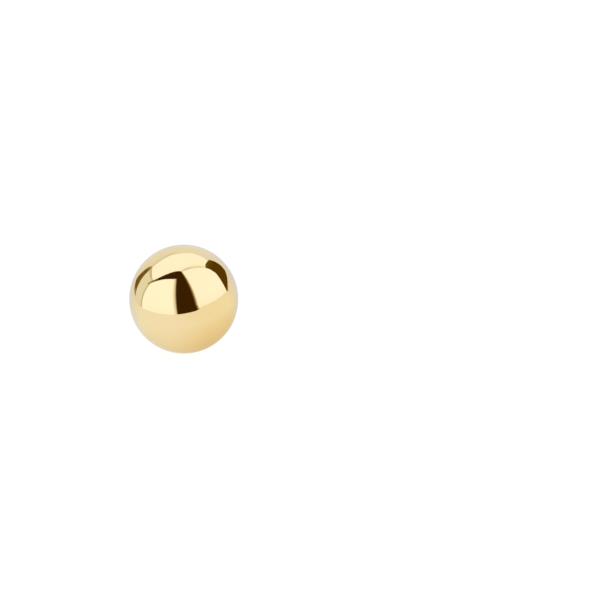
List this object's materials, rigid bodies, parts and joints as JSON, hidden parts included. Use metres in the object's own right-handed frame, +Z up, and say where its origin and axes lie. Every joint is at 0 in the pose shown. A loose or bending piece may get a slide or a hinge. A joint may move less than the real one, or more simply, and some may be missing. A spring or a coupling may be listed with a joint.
{
  "type": "ball stud earring",
  "caption": "Polished gold ball stud earring: a thin hollow ball, punched flat and pierced at the back, on a straight post with a flared foot and a clutch notch, lying on its side.",
  "frame": {"origin": "on the table, under the middle of the box round the stud as it lies by itself, on its ball and on the tip of its post", "axes": "+Z up; +Y is back along the post, from the ball at the front to the tip; +X is to the right, seen from the ball's side. The post's line dips 13.7 degrees towards the table at its tip."},
  "size_m": [0.007, 0.0166, 0.007],
  "materials": {
    "polished_gold": "mirror-polished yellow gold",
    "post_gold": "tumbled yellow gold wire, a little softer than the ball"
  },
  "bodies": {
    "root": {"ball": "polished_gold", "post": "post_gold"}
  },
  "joints": []
}
